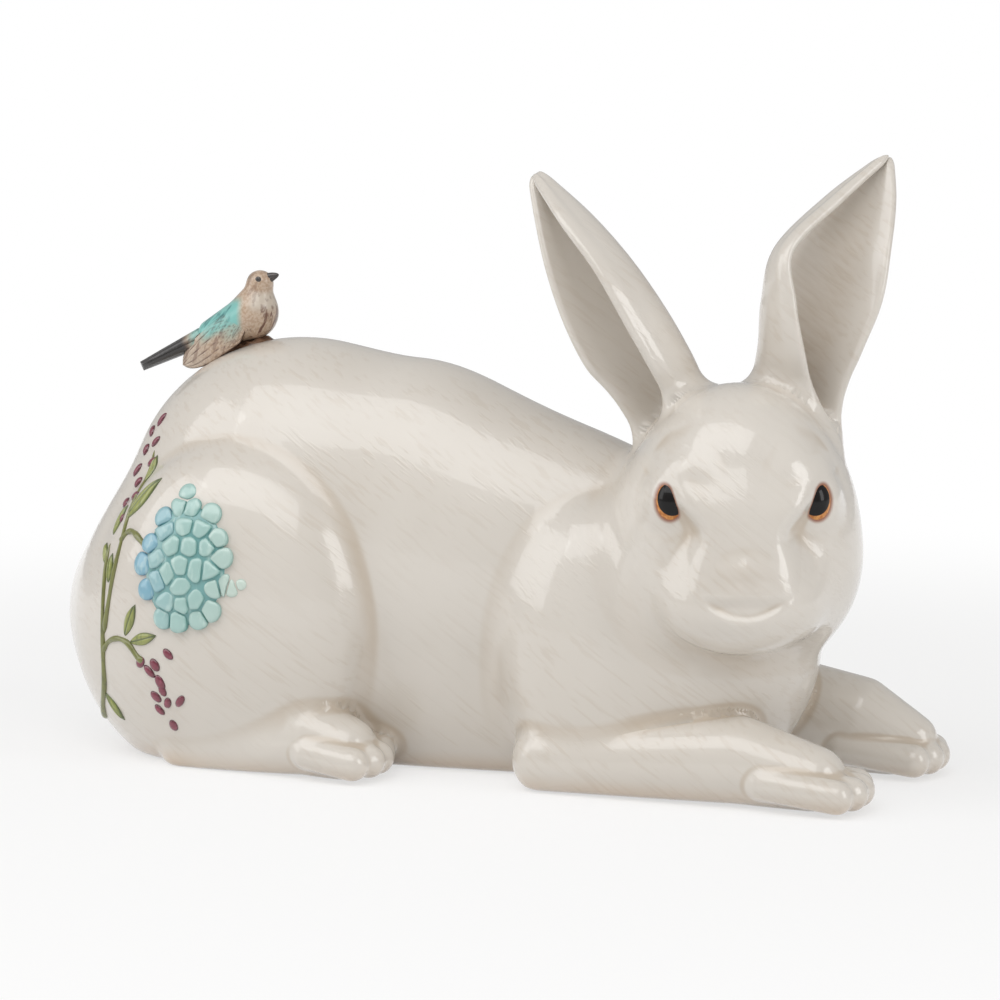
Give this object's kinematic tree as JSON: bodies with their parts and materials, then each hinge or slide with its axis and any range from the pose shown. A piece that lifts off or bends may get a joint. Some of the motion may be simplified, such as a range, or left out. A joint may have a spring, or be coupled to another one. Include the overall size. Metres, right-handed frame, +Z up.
{
  "type": "rabbit figurine",
  "caption": "Glazed ceramic rabbit lying down with its head turned aside, with a relief flower spray on its haunch and a small bird on its rump",
  "frame": {"origin": "on the resting face, under the rabbit's midline and near the middle of its length", "axes": "+X towards the head and forepaws, +Y towards the rabbit's left, +Z up"},
  "size_m": [0.444, 0.1804, 0.2929],
  "materials": {
    "glaze": "glossy",
    "eye_glaze": "glossy",
    "petal_glaze": "glossy",
    "stem_glaze": "glossy",
    "leaf_glaze": "glossy",
    "berry_glaze": "glossy",
    "bird_glaze": "glossy",
    "wing_glaze": "glossy",
    "bird_dark_glaze": "glossy"
  },
  "bodies": {
    "root": {"body_shell": "glaze", "head_shell": "glaze", "left_ear": "glaze", "right_ear": "glaze", "left_foreleg": "glaze", "right_foreleg": "glaze", "left_hind_foot": "glaze", "right_hind_foot": "glaze", "tail": "glaze", "left_eye": "eye_glaze", "right_eye": "eye_glaze", "flower_cushion": "petal_glaze", "flower_petals": "petal_glaze", "flower_stems": "stem_glaze", "leaves": "leaf_glaze", "upper_berries": "berry_glaze", "lower_berries": "berry_glaze", "bird_body": "bird_glaze", "bird_head": "bird_glaze", "bird_left_wing": "wing_glaze", "bird_right_wing": "wing_glaze", "bird_tail": "bird_dark_glaze", "bird_beak": "bird_dark_glaze", "bird_eyes": "bird_dark_glaze", "bird_perch": "wing_glaze"}
  },
  "joints": []
}
